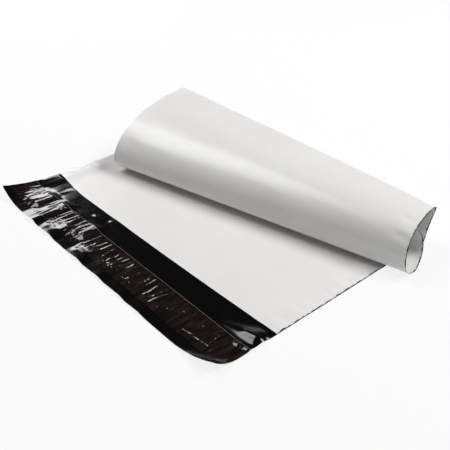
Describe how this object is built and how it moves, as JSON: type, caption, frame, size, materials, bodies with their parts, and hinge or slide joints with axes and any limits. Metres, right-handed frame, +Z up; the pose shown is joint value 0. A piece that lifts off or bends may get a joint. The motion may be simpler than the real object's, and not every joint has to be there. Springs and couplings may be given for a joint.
{
  "type": "poly mailer bag",
  "caption": "Lay-flat film mailer bag, white outside and black inside, with a lip, an adhesive band under a release liner, and its closed half turned back as a loose roll.",
  "frame": {"origin": "middle of the mouth line, on the underside of the film where it rests on a table", "axes": "+X across the bag's width, +Y from the mouth towards the closed end, +Z up from the table"},
  "size_m": [0.2709, 0.2005, 0.0425],
  "materials": {
    "white_film": "satin polyethylene film, white on the outer face and black on the inner face",
    "hot_melt": "tacky hot-melt adhesive over black film",
    "liner_film": "thin clear silicone-coated release liner with cross creases, dark over the black film"
  },
  "bodies": {
    "root": {"bag_film": "white_film", "adhesive_strip": "hot_melt", "release_liner": "liner_film"}
  },
  "joints": []
}
